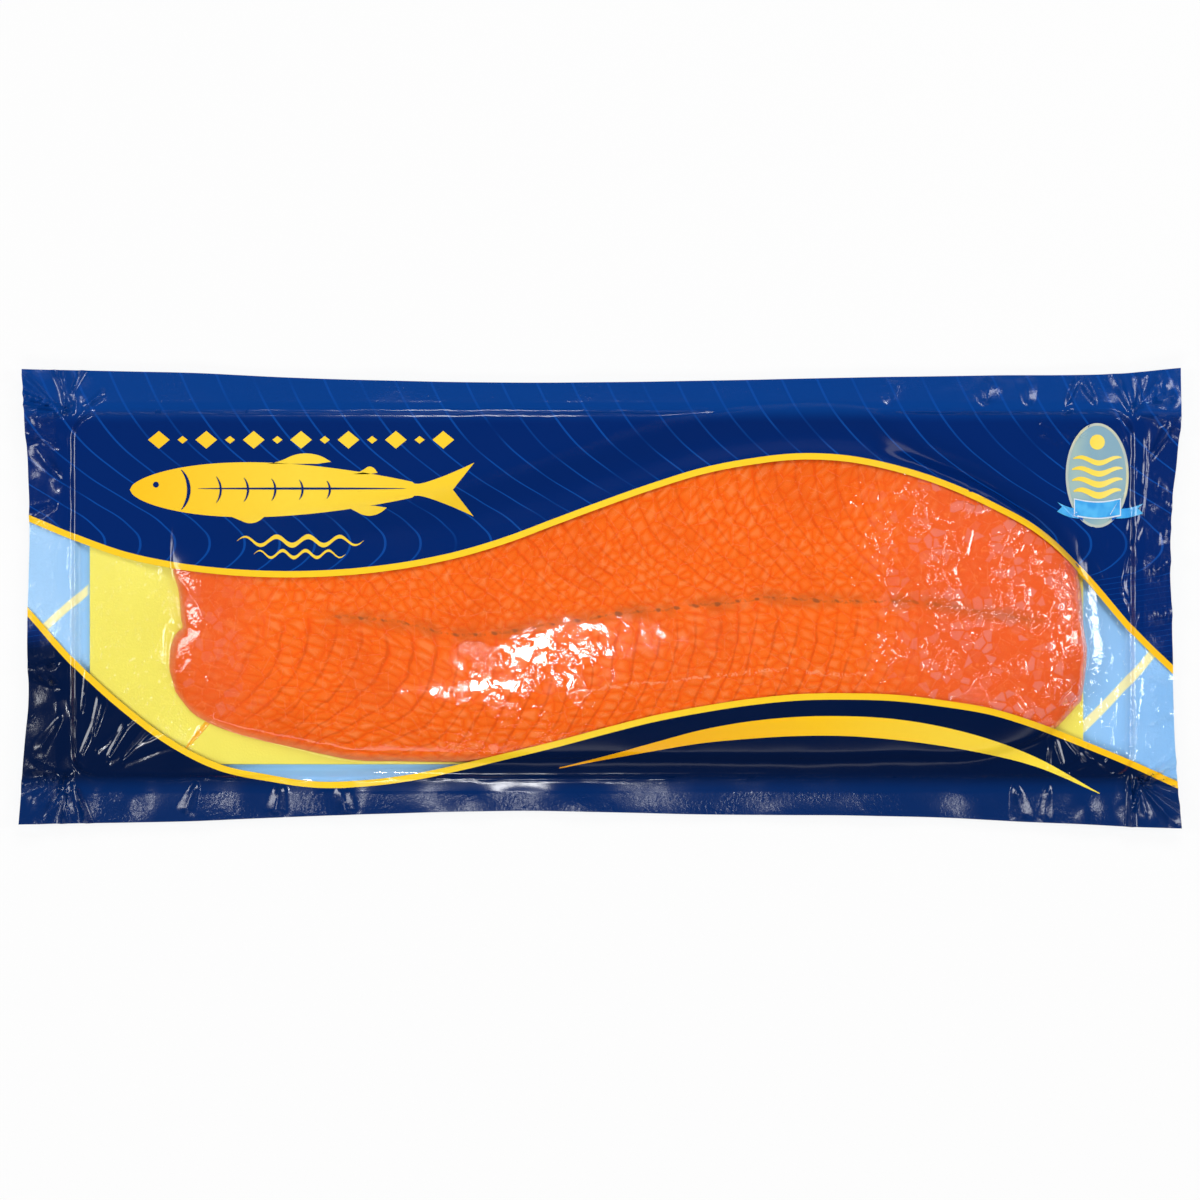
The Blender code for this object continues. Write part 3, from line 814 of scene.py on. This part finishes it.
# plan of a whole-pack sheet: closer lines at the flange
def packPlan(u, v):
    along = stretched(u, (0, 0), (0.16, 0.065), (0.84, 0.935), (1, 1))
    across = stretched(v, (0, 0), (0.22, 0.135), (0.78, 0.88), (1, 1))
    y = -halfWidth + across * 2 * halfWidth
    left, right = leftEdge(y), rightEdge(y)
    x = left + along * (right - left)
    return x, bottomEdge(x) + across * (topEdge(x) - bottomEdge(x))


def placeBase(u, v):
    x, y = packPlan(u, v)
    return x, y, baseHeight(x, y, baseSheet["creased"]) + baseSheet["thickness"]


baseFilm, _, _ = addGrid("baseFilm", baseSheet["columns"], baseSheet["rows"], placeBase)
thicken(baseFilm, baseSheet["thickness"])
finishPiece(baseFilm, makeBasePaint(), "back_film")


print("board")
boardShape = {"corner": 5.0, "segments": 8, "edgeBevel": 0.25, "edgeSegments": 2}
bpy.ops.object.select_all(action="DESELECT")
middle, size = (boardLow + boardHigh) / 2 * mm, (boardHigh - boardLow) * mm
bpy.ops.mesh.primitive_cube_add(size=1, location=middle, scale=size)
board = freshPiece("board_card")
bpy.ops.object.transform_apply(location=True, rotation=True, scale=True)
bpy.ops.object.mode_set(mode="EDIT")
bpy.ops.mesh.select_mode(type="EDGE")
bpy.ops.mesh.select_all(action="DESELECT")
bpy.ops.object.mode_set(mode="OBJECT")
for edge in board.data.edges:
    a, b = (board.data.vertices[i].co for i in edge.vertices)
    edge.select = abs(a.z - b.z) > size[2] / 2
bpy.ops.object.mode_set(mode="EDIT")
bpy.ops.mesh.bevel(offset=boardShape["corner"] * mm, segments=boardShape["segments"], affect="EDGES")
bpy.ops.object.mode_set(mode="OBJECT")
bevel = board.modifiers.new("edge", "BEVEL")
bevel.width = boardShape["edgeBevel"] * mm
bevel.segments = boardShape["edgeSegments"]
bevel.limit_method = "ANGLE"
bevel.angle_limit = math.radians(60)
bpy.ops.object.modifier_apply(modifier=bevel.name)
finishPiece(board, makeBoardPaint(), "board")


print("fish")
fishSheet = {"columns": 400, "rows": 150, "edgeRound": 4.0}
ridgeCount = curveThrough(
    (-222, 0), (-150, 5.0), (-90, 9.6), (-20, 16.2), (80, 26.0), (180, 35.8), (252, 42.8),
)


# the ridges lean back up and to the left above the side line, and sweep down and left below it
def ridgePhase(x, y):
    above = y - lateralLine(x)
    up = np.clip(above, 0, None)
    reach = 64.0
    leanUp = 1.35 * reach * 2 / math.pi * np.sin(math.pi / 2 * np.clip(up / reach, 0, 1))
    down = np.clip(-above, 0, None)
    sweep = 1 + 1.1 * (1 - ease((x + 150) / 110))
    leanDown = (0.0075 * down ** 2 - 0.12 * down) * sweep
    shift = leanUp + leanDown
    drift = 0.16 * softNoise(x, y, 17.0, 5) + 0.07 * softNoise(x, y, 6.0, 6)
    return ridgeCount(x + shift * 0.92) + drift, above


def placeFish(u, v):
    v = stretched(v, (0, 0), (0.12, 0.04), (0.88, 0.96), (1, 1))
    u = stretched(u, (0, 0), (0.04, 0.012), (0.96, 0.988), (1, 1))
    x = fishLeft(v) + u * (fishRight(v) - fishLeft(v))
    y = fishLower(x) + v * (fishUpper(x) - fishLower(x))
    depth, _ = insideFish(x, y)
    phase, above = ridgePhase(x, y)
    ridge = np.abs(np.sin(math.pi * phase)) ** 0.75 + 0.35 * np.abs(np.sin(2 * math.pi * phase + 0.8))
    calm = 1 - 0.75 * ease((x - 120) / 80) - 0.6 * ease((-165 - x) / 40)
    relief = fleshFinish["ridgeHeight"] * (ridge - 0.6) * calm
    relief = relief + 0.22 * softNoise(x, y, 21.0, 8) + 0.14 * softNoise(x, y, 7.0, 9)
    # the side line lies in a shallow furrow
    relief = relief - 0.7 * np.exp(-(above / 5.0) ** 2) * ease((x + 160) / 60)
    rounded = roundOver((depth + 0.02) / fishSheet["edgeRound"])
    z = fishBottom + 0.15 + (fishBody(x, v) - 0.2) * (0.12 + 0.88 * rounded) + relief * ease(depth / 5.0)
    wobble = 0.5 * softNoise(x, y, 9.0, 12) * (1 - ease(depth / 6.0))
    return x + wobble * 0.4, y, z


fish, fishU, _ = addGrid("salmonSide", fishSheet["columns"], fishSheet["rows"], placeFish)
bpy.ops.object.mode_set(mode="EDIT")
bpy.ops.mesh.select_mode(type="EDGE")
bpy.ops.mesh.select_all(action="DESELECT")
bpy.ops.mesh.select_non_manifold()
bpy.ops.mesh.extrude_edges_move(TRANSFORM_OT_translate={"value": (0, 0, -1 * mm)})
bpy.ops.mesh.edge_face_add()
bpy.ops.object.mode_set(mode="OBJECT")
gridPoints = len(fishU)
spots = np.empty(len(fish.data.vertices) * 3)
fish.data.vertices.foreach_get("co", spots)
spots[2::3][gridPoints:] = fishBottom * mm
fish.data.vertices.foreach_set("co", spots)
fish.data.update()
fishX, fishY = spots[0::3] / mm, spots[1::3] / mm
phase, above = ridgePhase(fishX, fishY)
depth, _ = insideFish(fishX, fishY)
alongRidge = np.where(above > 0, (above - 0.92 * fishX) / 8.4, (above * 1.05 + 0.3 * fishX) / 6.5)
addUv(fish, "grain", phase, alongRidge)
addUv(fish, "sideLine", phase, above)
cutEdge = fish.data.attributes.new("rim", "FLOAT", "POINT")
cutEdge.data.foreach_set("value", 1 - ease(depth / 5.0))
finishPiece(fish, makeFleshPaint(), "salmon_side")


# the top film is printed above and below, and clear between
print("top film")
filmSheet = {"columns": 560, "thickness": 0.12, "upperRows": 56, "windowRows": 76, "lowerRows": 56}


def filmColumns(u):
    return stretched(u, (0, 0), (0.33, 0.20), (0.67, 0.80), (1, 1))


# a point between two curves, with the ends of the rows on the pack's end edges
def betweenCurves(u, share, low, high):
    x = -halfLength + u * 2 * halfLength
    for _ in range(3):
        y = low(x) + share * (high(x) - low(x))
        left, right = leftEdge(y), rightEdge(y)
        x = left + u * (right - left)
    return x, low(x) + share * (high(x) - low(x))


def placeUpper(u, v):
    share = stretched(v, (0, 0), (0.5, 0.62), (1, 1))
    x, y = betweenCurves(filmColumns(u), share, upperWave, topEdge)
    return x, y, filmHeight(x, y) + filmSheet["thickness"]


def placeWindow(u, v):
    share = stretched(v, (0, 0), (0.2, 0.12), (0.8, 0.88), (1, 1))
    x, y = betweenCurves(filmColumns(u), share, lowerWave, upperWave)
    return x, y, filmHeight(x, y) + filmSheet["thickness"]


def placeLower(u, v):
    x, y = betweenCurves(filmColumns(u), v, bottomEdge, lowerWave)
    return x, y, filmHeight(x, y) + filmSheet["thickness"]


printPaint, clearPaint = makePrintPaint(), makeClearPaint()
for name, rows, place, paint in (
    ("printedFilmUpper", filmSheet["upperRows"], placeUpper, printPaint),
    ("clearWindow", filmSheet["windowRows"], placeWindow, clearPaint),
    ("printedFilmLower", filmSheet["lowerRows"], placeLower, printPaint),
):
    film, _, _ = addGrid(name, filmSheet["columns"], rows, place)
    thicken(film, filmSheet["thickness"])
    finishPiece(film, paint, "front_film")


# the film's print, each layer a little higher than the last
print("gold print")
ink = {"lift": 0.16, "lines": 0.3, "thickness": 0.08, "waveHalfWidth": 1.65}


def addInk(name, columns, rows, shape, paint, lift=ink["lift"]):
    def place(u, v):
        x, y = shape(u, v)
        return x, y, filmHeight(x, y) + filmSheet["thickness"] + lift
    piece, _, _ = addGrid(name, columns, rows, place)
    thicken(piece, ink["thickness"])
    finishPiece(piece, paint)
    return piece


wavePaint = makeGoldPaint("goldLine", *goldFinish["line"], -300.0, 300.0)
crescentPaint = makeGoldPaint("goldCrescent", *goldFinish["crescent"], -30.0, 255.0)
motifPaint = makeGoldPaint("goldMotif", *goldFinish["motif"], -245.0, -65.0)

for name, wave in (("goldWaveUpper", upperWave), ("goldWaveLower", lowerWave)):
    def ribbon(u, v, wave=wave):
        x, y = betweenCurves(filmColumns(u), 0.5, wave, wave)
        slope = wave(x + 0.5) - wave(x - 0.5)
        return x, y + (v - 0.5) * 2 * ink["waveHalfWidth"] * np.sqrt(1 + slope ** 2)
    addInk(name, filmSheet["columns"], 4, ribbon, wavePaint)


crescentTop = curveThrough(
    (-21, -87.6), (2, -81.7), (27, -74.6), (52, -67.8), (77, -63.3), (101, -61.0), (126, -60.6),
    (151, -62.1), (176, -66.2), (201, -72.9), (226, -82.6), (258, -100.7),
)
crescentLow = curveThrough(
    (-21, -88.0), (2, -83.5), (27, -78.9), (52, -74.7), (77, -72.3), (101, -70.9), (126, -70.9),
    (151, -72.8), (176, -76.1), (201, -80.8), (226, -87.4), (258, -101.1),
)


def crescent(u, v):
    x = -21 + u * 279
    return x, crescentLow(x) + v * (crescentTop(x) - crescentLow(x))


addInk("goldCrescent", 260, 8, crescent, crescentPaint)


# ornaments: a row of diamonds, a plain fish and a wavy flourish
def joined(name, parts):
    bpy.ops.object.select_all(action="DESELECT")
    for part in parts:
        part.select_set(True)
    bpy.context.view_layer.objects.active = parts[0]
    bpy.ops.object.join()
    return freshPiece(name)


diamonds = {
    "from": -228.0,
    "to": -81.0,
    "count": 13,
    "middle": 81.8,
    "large": (5.6, 4.6),
    "small": (2.6, 2.0),
}


# a grid turned to stand on its corner
def diamond(centreX, centreY, halfX, halfY):
    def shape(u, v):
        a, b = u - 0.5, v - 0.5
        return centreX + (a + b) * halfX, centreY + (b - a) * halfY
    return shape


parts = []
for k in range(diamonds["count"]):
    centre = diamonds["from"] + (diamonds["to"] - diamonds["from"]) * k / (diamonds["count"] - 1)
    halfX, halfY = diamonds["small"] if k % 2 else diamonds["large"]
    parts.append(addInk("goldDiamonds", 4, 4, diamond(centre, diamonds["middle"], halfX, halfY), motifPaint))
joined("goldDiamonds", parts)

plainFish = {
    "nose": -243.0,
    "tail": -65.0,
    "middle": 56.0,
    "halfHeight": 14.2,
    "neck": 0.82,
    "neckHalf": 3.1,
    "tailFrom": 0.84,
    "tailHalf": 14.0,
    "notch": 11.0,
    # start, length, height, lean
    "fins": (
        (-172, 69.4, 26, 5.4, 7), (-128, 64.0, 8, 4.0, 5),
        (-134, 47.6, 18, -5.2, 6), (-196, 43.2, 15, -4.6, 8),
    ),
    "scaleArcs": 5,
}


def alongTail(u):
    return np.clip((u - plainFish["tailFrom"]) / (1 - plainFish["tailFrom"]), 0, 1)


def plainFishHalf(u):
    neckHalf = plainFish["neckHalf"]
    body = plainFish["halfHeight"] * np.sin(math.pi * np.clip(u / 0.9, 0, 1) ** 0.72) ** 0.78
    tail = neckHalf + (plainFish["tailHalf"] - neckHalf) * alongTail(u) ** 1.25
    return np.where(u < plainFish["neck"], np.maximum(body, neckHalf * ease(u / 0.05)), tail)


def plainFishBody(u, v):
    side = 2 * v - 1
    length = plainFish["tail"] - plainFish["nose"]
    notch = plainFish["notch"] * (1 - np.abs(side)) * alongTail(u)
    return plainFish["nose"] + u * length - notch, plainFish["middle"] + side * plainFishHalf(u)


def finShape(startX, startY, length, height, lean):
    def shape(u, v):
        crest = height * np.sin(math.pi * np.clip(u, 0.02, 0.98)) ** 0.6
        return startX + u * length + v * lean, startY + v * crest
    return shape


parts = [addInk("plainFish", 150, 20, plainFishBody, motifPaint)]
for fin in plainFish["fins"]:
    parts.append(addInk("plainFish", 16, 5, finShape(*fin), motifPaint))
joined("plainFish", parts)


# navy lines on the plain fish: gill, eye, side line and scale arcs
def arc(centreX, centreY, radius, start, end, halfWidth):
    def shape(u, v):
        angle = np.radians(start + u * (end - start))
        reach = radius + (v - 0.5) * 2 * halfWidth * np.sin(math.pi * np.clip(u, 0.03, 0.97)) ** 0.7
        return centreX + reach * np.cos(angle), centreY + reach * np.sin(angle)
    return shape


def disc(centreX, centreY, halfX, halfY):
    def shape(u, v):
        a, b = 2 * u - 1, 2 * v - 1
        return centreX + halfX * a * np.sqrt(1 - b * b / 2), centreY + halfY * b * np.sqrt(1 - a * a / 2)
    return shape


darkInk = Paint("darkInk", Base_Color=printFinish["navy"], Roughness=0.16, Specular_IOR_Level=0.5)
darkSpot = darkInk.place()[0]
darkInk.feed(Normal=darkInk.bump(darkInk.noise(darkSpot, 210.0, 1.0) * 0.06))


def sideStroke(u, v):
    return -208 + u * 108, 56.6 + (v - 0.5) * 1.1 * np.sin(math.pi * u) ** 0.5


fishLines = [(24, 2, arc(-228, 56, 15.5, -42, 42, 0.9)), (8, 8, disc(-229.5, 58.6, 1.5, 1.5))]
fishLines.append((60, 2, sideStroke))
for k in range(plainFish["scaleArcs"]):
    fishLines.append((16, 2, arc(-207 + k * 15, 56, 11.0 - k * 0.9, -38, 38, 0.55)))
joined("plainFishLines", [addInk("plainFishLines", *line, darkInk, ink["lines"]) for line in fishLines])

# bands: middle, height, half width, how much shorter at each end
flourish = {"from": -187.0, "to": -121.5, "waves": 4.0, "bands": ((29.4, 2.2, 1.3, 0), (22.6, 1.8, 0.9, 9))}


def wavyBand(middle, height, halfWidth, inset):
    def shape(u, v):
        taper = np.sin(math.pi * np.clip(u, 0.004, 0.996)) ** 0.6
        x = flourish["from"] + inset + u * (flourish["to"] - flourish["from"] - 2 * inset)
        crest = middle + height * np.sin(2 * math.pi * flourish["waves"] * u)
        return x, crest + (2 * v - 1) * halfWidth * taper
    return shape


parts = [addInk("goldFlourish", 120, 4, wavyBand(*band), motifPaint) for band in flourish["bands"]]
joined("goldFlourish", parts)


# an oval badge with a blank ribbon
print("badge")
badge = {
    "middle": (257.0, 63.4),
    "half": (16.3, 27.0),
    "outline": 0.7,
    "ring": 1.4,
    "bands": 4,
    "bandsEvery": 5.6,
}


def inkPaint(name, colour, second, scale=60.0):
    paint = Paint(name, Roughness=0.16, Specular_IOR_Level=0.5)
    spot = paint.place()[0]
    cloud = paint.noise(spot, scale, 2.0)
    paint.feed(Base_Color=paint.blend(paint.rise(cloud, 0.35, 0.7), colour, second),
               Normal=paint.bump(paint.noise(spot, 300.0, 1.0) * 0.06))
    return paint


ringPaint = inkPaint("badgeRing", (0.50, 0.56, 0.52), (0.68, 0.66, 0.42))
facePaint = inkPaint("badgeFace", (0.25, 0.42, 0.52), (0.37, 0.52, 0.50), 40.0)
ribbonPaint = inkPaint("badgeRibbon", (0.05, 0.36, 0.82), (0.10, 0.50, 0.92), 120.0)
ribbonBack = inkPaint("ribbonBack", (0.01, 0.12, 0.50), (0.015, 0.16, 0.58))
whitePaint = inkPaint("ribbonEdge", (0.70, 0.80, 0.88), (0.80, 0.88, 0.95))

(badgeX, badgeY), (badgeHalfX, badgeHalfY) = badge["middle"], badge["half"]
for name, grown, paint, lift in (
    ("badgeOutline", badge["outline"], darkInk, 0.14),
    ("badgeRing", 0.0, ringPaint, 0.26),
    ("badgeFace", -badge["ring"], facePaint, 0.38),
):
    addInk(name, 28, 40, disc(badgeX, badgeY, badgeHalfX + grown, badgeHalfY + grown), paint, lift)


# gold swell: bands that rise and break to one side, cut to the oval
def swell(level, rise, halfWidth):
    def shape(u, v):
        reach = (badgeHalfX - 3.2) * np.sqrt(np.clip(1 - ((level - badgeY) / (badgeHalfY - 2)) ** 2, 0.05, 1))
        x = badgeX + (2 * u - 1) * reach
        crest = level + rise * np.sin(2 * math.pi * 1.25 * u + 0.5)
        return x, crest + (2 * v - 1) * halfWidth * np.sin(math.pi * np.clip(u, 0.02, 0.98)) ** 0.5
    return shape


badgeGold = makeGoldPaint("badgeGold", *goldFinish["badge"], 240.0, 274.0)
bands = []
for k in range(badge["bands"]):
    band = swell(54.5 + badge["bandsEvery"] * k, 1.5, 1.75 - 0.12 * k)
    bands.append(addInk("badgeSwell", 36, 4, band, badgeGold, 0.5))
bands.append(addInk("badgeSwell", 12, 12, disc(badgeX, 80.6, 3.9, 3.9), badgeGold, 0.5))
joined("badgeSwell", bands)


def ribbonPart(startX, endX, startY, endY, halfWidth, arch, notch=0.0):
    def shape(u, v):
        side = 2 * v - 1
        x = startX + u * (endX - startX) - notch * u * (1 - np.abs(side))
        y = startY + u * (endY - startY) + arch * np.sin(math.pi * u)
        return x, y + side * halfWidth
    return shape


for name, columns, rows, numbers, paint, lift in (
    ("ribbonTails", 12, 6, (247.5, 236.2, 43.6, 47.2, 2.5, -0.8, -2.6), ribbonPaint, 0.5),
    ("ribbonTailRight", 12, 6, (266.5, 280.0, 43.6, 46.2, 2.5, -0.8, 2.6), ribbonPaint, 0.5),
    ("ribbonFolds", 6, 4, (249.5, 246.2, 42.2, 44.4, 2.3, 0), ribbonBack, 0.6),
    ("ribbonFoldRight", 6, 4, (264.5, 267.8, 42.2, 44.4, 2.3, 0), ribbonBack, 0.6),
    ("ribbonEdge", 26, 6, (244.8, 269.2, 47.0, 47.0, 4.6, -1.6), whitePaint, 0.72),
    ("ribbonBand", 26, 6, (245.4, 268.6, 47.0, 47.0, 3.9, -1.6), ribbonPaint, 0.84),
):
    addInk(name, columns, rows, ribbonPart(*numbers), paint, lift)


# a run of oil out of the fish's tail
print("oil")
oilRun = {"from": (-214.5, -78.0), "to": (-195.5, -55.5), "half": (1.25, 0.32), "lift": 0.12}
oilPaint = Paint("oil", Roughness=0.1, Specular_IOR_Level=0.6)
oilSpot = oilPaint.place()[0]
oilCloud = oilPaint.noise(oilSpot, 150.0, 2.0)
oilPaint.feed(Base_Color=oilPaint.blend(oilCloud, (0.90, 0.36, 0.012), (1.0, 0.62, 0.05)),
              Normal=oilPaint.bump(oilCloud * 0.25))
start, end = np.array(oilRun["from"]), np.array(oilRun["to"])
middle, reach = (start + end) / 2, np.hypot(*(end - start)) / 2
turn = math.atan2(end[1] - start[1], end[0] - start[0])
bpy.ops.object.select_all(action="DESELECT")
bpy.ops.mesh.primitive_uv_sphere_add(
    segments=40,
    ring_count=20,
    radius=mm,
    location=(*(middle * mm), (boardTop + oilRun["lift"]) * mm),
    rotation=(0, 0, turn),
    scale=(reach, *oilRun["half"]),
)
oil = freshPiece("oilRun")
bpy.ops.object.transform_apply(location=True, rotation=True, scale=True)
finishPiece(oil, oilPaint)


print("camera and light")
view = {"frame": 620.7, "lens": 100.0, "sensor": 36.0, "middle": (0.0, -1.0)}  # frame: how wide a view, in mm
cameraData = bpy.data.cameras.new("camera")
cameraData.lens, cameraData.sensor_width = view["lens"], view["sensor"]
camera = bpy.data.objects.new("camera", cameraData)
away = view["frame"] * view["lens"] / view["sensor"]
camera.location = (view["middle"][0] * mm, view["middle"][1] * mm, (away + plateau) * mm)
bpy.context.scene.collection.objects.link(camera)
bpy.context.scene.camera = camera

lamps = [
    # name, place in metres, size, power, seen in gloss
    ("softboxLeft", (-1.35, 0.15, 1.05), (0.45, 0.8), 10.3, True),
    ("softboxRight", (1.35, 0.1, 1.05), (0.45, 0.8), 10.3, True),
    ("stripFront", (0.0, -1.35, 1.05), (2.3, 0.12), 0.9, True),
    ("smallTop", (-0.10, -0.34, 1.75), (0.10, 0.11), 1.5, True),
    ("smallLow", (-0.16, -0.66, 1.68), (0.13, 0.12), 1.9, True),
    ("fillFront", (-0.1, -1.3, 1.2), (1.2, 0.7), 10.6, False),
    ("fillBack", (0.2, 1.3, 1.2), (1.2, 0.7), 13.8, False),
]
for name, place, size, power, glossy in lamps:
    data = bpy.data.lights.new(name, "AREA")
    data.shape = "RECTANGLE"
    data.size, data.size_y = size
    data.energy = power
    lamp = bpy.data.objects.new(name, data)
    lamp.location = place
    lamp.rotation_euler = Vector(place).to_track_quat("Z", "Y").to_euler()
    lamp.visible_glossy = glossy
    bpy.context.scene.collection.objects.link(lamp)

world = bpy.data.worlds.new("room")
bpy.context.scene.world = world
world.use_nodes = True
tree = world.node_tree
backdrop = tree.nodes["Background"]
rays = tree.nodes.new("ShaderNodeLightPath")
bright = tree.nodes.new("ShaderNodeMath")  # dim on the pack, white behind it
bright.operation = "MULTIPLY_ADD"
bright.inputs[1].default_value = 0.96
bright.inputs[2].default_value = 0.04
tree.links.new(rays.outputs["Is Camera Ray"], bright.inputs[0])
tree.links.new(bright.outputs[0], backdrop.inputs["Strength"])
backdrop.inputs["Color"].default_value = (1, 1, 1, 1)

bpy.ops.object.select_all(action="DESELECT")
bpy.ops.mesh.primitive_plane_add(size=6.0, location=(0, 0, -0.0002))
ground = freshPiece("ground")
groundPaint = Paint("ground", Base_Color=(0.86, 0.86, 0.86), Roughness=0.9)
glow = groundPaint.add("ShaderNodeEmission", {}, {"Color": (1, 1, 1), "Strength": 1.0})
seen = groundPaint.add("ShaderNodeLightPath")
groundPaint.show(groundPaint.mixShaders(seen * 0.85, Wire(groundPaint, groundPaint.shader.outputs[0]), glow))
ground.data.materials.append(groundPaint.material)

bpy.context.scene.view_settings.view_transform = "Standard"
